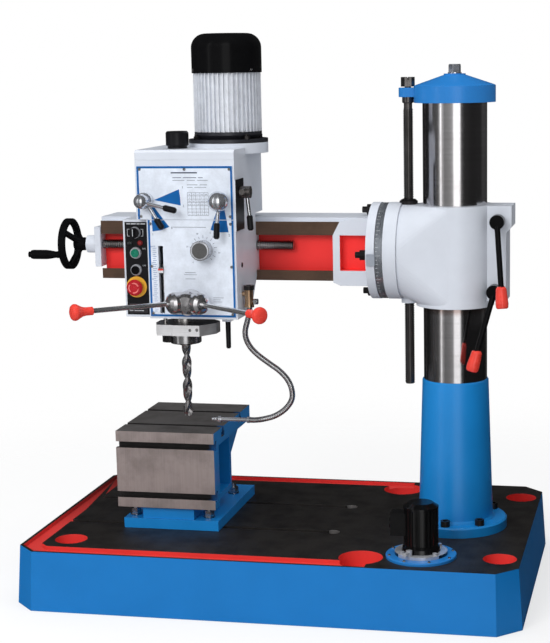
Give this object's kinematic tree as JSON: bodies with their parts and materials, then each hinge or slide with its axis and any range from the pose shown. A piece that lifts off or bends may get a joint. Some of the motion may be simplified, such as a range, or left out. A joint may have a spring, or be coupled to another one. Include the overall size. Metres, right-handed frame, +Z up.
{
  "type": "radial arm drill",
  "caption": "Radial arm drill: ribbed base with box table, column with swinging, lifting, tilting arm, and a traversing head with motor, gears, quill, capstan feed and coolant hose.",
  "frame": {"origin": "centre of the base casting's top outline, on the floor", "axes": "+Z up, +X along the arm towards the column, -Y towards the operator"},
  "size_m": [1.298, 0.8869, 1.405],
  "materials": {
    "blue_paint": "gloss",
    "base_paint": "gloss",
    "white_paint": "gloss",
    "motor_aluminium": "cast",
    "black_enamel": "gloss",
    "column_steel": "ground",
    "machined_steel": "machined",
    "black_steel": "black oxide",
    "chrome": "polished",
    "brass": "turned",
    "red_plastic": "gloss",
    "green_plastic": "gloss",
    "black_plastic": "matte",
    "pump_black": "satin",
    "plate_aluminium": "printed"
  },
  "bodies": {
    "frame": {"base_casting": "base_paint", "pedestal": "blue_paint", "hold_down_bolts": "black_steel", "column": "column_steel", "cap_nut": "machined_steel", "thrust_bearing": "machined_steel", "pump_plate": "blue_paint", "pump_motor": "pump_black", "box_table": "blue_paint"},
    "cap": {"top_cap": "blue_paint", "elevating_screw": "black_steel"},
    "sleeve": {"arm_sleeve": "white_paint", "angle_ring": "black_steel", "clamp_studs": "black_steel"},
    "lift_nut": {"elevating_nut": "black_steel"},
    "upper_clamp": {"upper_clamp_lever": "black_enamel"},
    "lower_clamp": {"lower_clamp_lever": "black_enamel"},
    "arm": {"arm_casting": "white_paint", "arm_flange_bolts": "black_steel", "tilt_pointer": "machined_steel", "end_bracket": "white_paint"},
    "screw_and_wheel": {"traverse_screw": "black_steel", "handwheel": "black_enamel"},
    "wheel_grip": {"handwheel_grip": "black_plastic"},
    "head": {"head_casting": "white_paint", "head_cover": "white_paint", "upper_plate": "plate_aluminium", "lower_plate": "plate_aluminium", "head_screws": "machined_steel", "breather_cap": "black_plastic", "motor_housing": "motor_aluminium", "motor_flange": "black_enamel", "fan_cover": "black_enamel", "traverse_nut": "brass", "control_box": "white_paint", "control_panel": "black_plastic", "coolant_tap": "brass", "coolant_hose": "black_steel"},
    "motor_rotor": {"rotor": "machined_steel", "cooling_fan": "black_plastic"},
    "idler": {"idler_gear": "machined_steel"},
    "output_gear": {"spindle_gear": "machined_steel"},
    "quill_unit": {"quill": "machined_steel", "quill_ring_nut": "black_steel", "depth_clamp": "white_paint"},
    "drill_spindle": {"spindle": "machined_steel", "twist_drill": "chrome"},
    "capstan": {"capstan_hub": "chrome", "capstan_knobs": "red_plastic"},
    "low_gear": {"low_gear_lever": "chrome"},
    "high_gear": {"high_gear_lever": "chrome"},
    "feed_select": {"feed_lever": "chrome"},
    "side_select": {"side_lever": "black_steel"},
    "dial": {"feed_dial": "machined_steel"},
    "quill_lock": {"quill_lock_lever": "black_steel"},
    "tap_handle": {"coolant_tap_handle": "chrome"},
    "selector": {"selector_switch": "black_plastic"},
    "start": {"start_button": "green_plastic"},
    "stop": {"stop_button": "black_plastic"},
    "mushroom": {"emergency_stop": "red_plastic"}
  },
  "joints": [
    {"name": "arm_swing", "type": "hinge", "parent": "frame", "child": "cap", "pos_m": [0.43, 0, 1.25], "axis": [0, 0, 1], "range_deg": [-180, 180]},
    {"name": "arm_lift", "type": "slide", "parent": "cap", "child": "sleeve", "axis": [0, 0, 1], "range_m": [-0.125, 0.22]},
    {"name": "lift_nut_turn", "type": "hinge", "parent": "sleeve", "child": "lift_nut", "pos_m": [0.313, 0, 0.96], "axis": [0, 0, 1], "range_deg": [-7501, 13201]},
    {"name": "upper_clamp_turn", "type": "hinge", "parent": "sleeve", "child": "upper_clamp", "pos_m": [0.543, -0.06, 0.94], "axis": [0, 1, 0], "range_deg": [-20, 20]},
    {"name": "lower_clamp_turn", "type": "hinge", "parent": "sleeve", "child": "lower_clamp", "pos_m": [0.535, -0.06, 0.767], "axis": [0, 1, 0], "range_deg": [-20, 15]},
    {"name": "arm_tilt", "type": "hinge", "parent": "sleeve", "child": "arm", "pos_m": [0.245, 0, 0.86], "axis": [1, 0, 0], "range_deg": [-90, 15]},
    {"name": "head_traverse", "type": "slide", "parent": "arm", "child": "head", "axis": [1, 0, 0], "range_m": [-0.16, 0.16]},
    {"name": "traverse_screw_turn", "type": "hinge", "parent": "arm", "child": "screw_and_wheel", "pos_m": [-0.49, -0.05, 0.876], "axis": [1, 0, 0], "range_deg": [-9601, 9601]},
    {"name": "wheel_grip_turn", "type": "hinge", "parent": "screw_and_wheel", "child": "wheel_grip", "pos_m": [-0.62, -0.10517, 0.85371], "axis": [1, 0, 0], "continuous": true},
    {"name": "motor_spin", "type": "hinge", "parent": "head", "child": "motor_rotor", "pos_m": [-0.13, -0.075, 1.2], "axis": [0, 0, 1], "continuous": true},
    {"name": "idler_spin", "type": "hinge", "parent": "head", "child": "idler", "pos_m": [-0.16878, -0.13346, 1.03], "axis": [0, 0, 1], "continuous": true},
    {"name": "output_gear_spin", "type": "hinge", "parent": "head", "child": "output_gear", "pos_m": [-0.222, -0.19, 0.985], "axis": [0, 0, 1], "continuous": true},
    {"name": "quill_feed", "type": "slide", "parent": "head", "child": "quill_unit", "axis": [0, 0, 1], "range_m": [-0.1, 0]},
    {"name": "capstan_turn", "type": "hinge", "parent": "head", "child": "capstan", "pos_m": [-0.182, -0.26, 0.762], "axis": [0, 1, 0], "range_deg": [-382.97, 382.97]},
    {"name": "spindle_spin", "type": "hinge", "parent": "quill_unit", "child": "drill_spindle", "pos_m": [-0.222, -0.19, 0.7], "axis": [0, 0, 1], "continuous": true},
    {"name": "low_gear_turn", "type": "hinge", "parent": "head", "child": "low_gear", "pos_m": [-0.292, -0.26, 1.007], "axis": [0, 1, 0], "range_deg": [-12, 18]},
    {"name": "high_gear_turn", "type": "hinge", "parent": "head", "child": "high_gear", "pos_m": [-0.292, -0.26, 1.007], "axis": [0, 1, 0], "range_deg": [-30, 2]},
    {"name": "feed_select_turn", "type": "hinge", "parent": "head", "child": "feed_select", "pos_m": [-0.102, -0.26, 1.007], "axis": [0, 1, 0], "range_deg": [-20, 20]},
    {"name": "side_select_turn", "type": "hinge", "parent": "head", "child": "side_select", "pos_m": [-0.06, -0.215, 1.024], "axis": [1, 0, 0], "range_deg": [-30, 30]},
    {"name": "dial_turn", "type": "hinge", "parent": "head", "child": "dial", "pos_m": [-0.15, -0.26, 0.888], "axis": [0, 1, 0], "range_deg": [-150, 150]},
    {"name": "quill_lock_turn", "type": "hinge", "parent": "head", "child": "quill_lock", "pos_m": [-0.115, -0.179, 0.709], "axis": [0, 1, 0], "range_deg": [-30, 8]},
    {"name": "tap_turn", "type": "hinge", "parent": "head", "child": "tap_handle", "pos_m": [-0.04, -0.206, 0.755], "axis": [1, 0, 0], "range_deg": [0, 90]},
    {"name": "selector_turn", "type": "hinge", "parent": "head", "child": "selector", "pos_m": [-0.329, -0.24, 0.926], "axis": [0, 1, 0], "range_deg": [-45, 45]},
    {"name": "start_press", "type": "slide", "parent": "head", "child": "start", "axis": [0, 1, 0], "range_m": [0, 0.004], "stiffness_N_per_m": 600},
    {"name": "stop_press", "type": "slide", "parent": "head", "child": "stop", "axis": [0, 1, 0], "range_m": [0, 0.004], "stiffness_N_per_m": 600},
    {"name": "mushroom_press", "type": "slide", "parent": "head", "child": "mushroom", "axis": [0, 1, 0], "range_m": [0, 0.005], "stiffness_N_per_m": 600}
  ],
  "couplings": [
    {"joint": "lift_nut_turn", "follows": "arm_lift", "rad_per_m": 1047.2},
    {"joint": "traverse_screw_turn", "follows": "head_traverse", "rad_per_m": 1047.2},
    {"joint": "capstan_turn", "follows": "quill_feed", "rad_per_m": 66.667},
    {"joint": "idler_spin", "follows": "motor_spin", "ratio": -0.47368},
    {"joint": "output_gear_spin", "follows": "motor_spin", "ratio": 0.29917},
    {"joint": "spindle_spin", "follows": "motor_spin", "ratio": 0.29917}
  ]
}
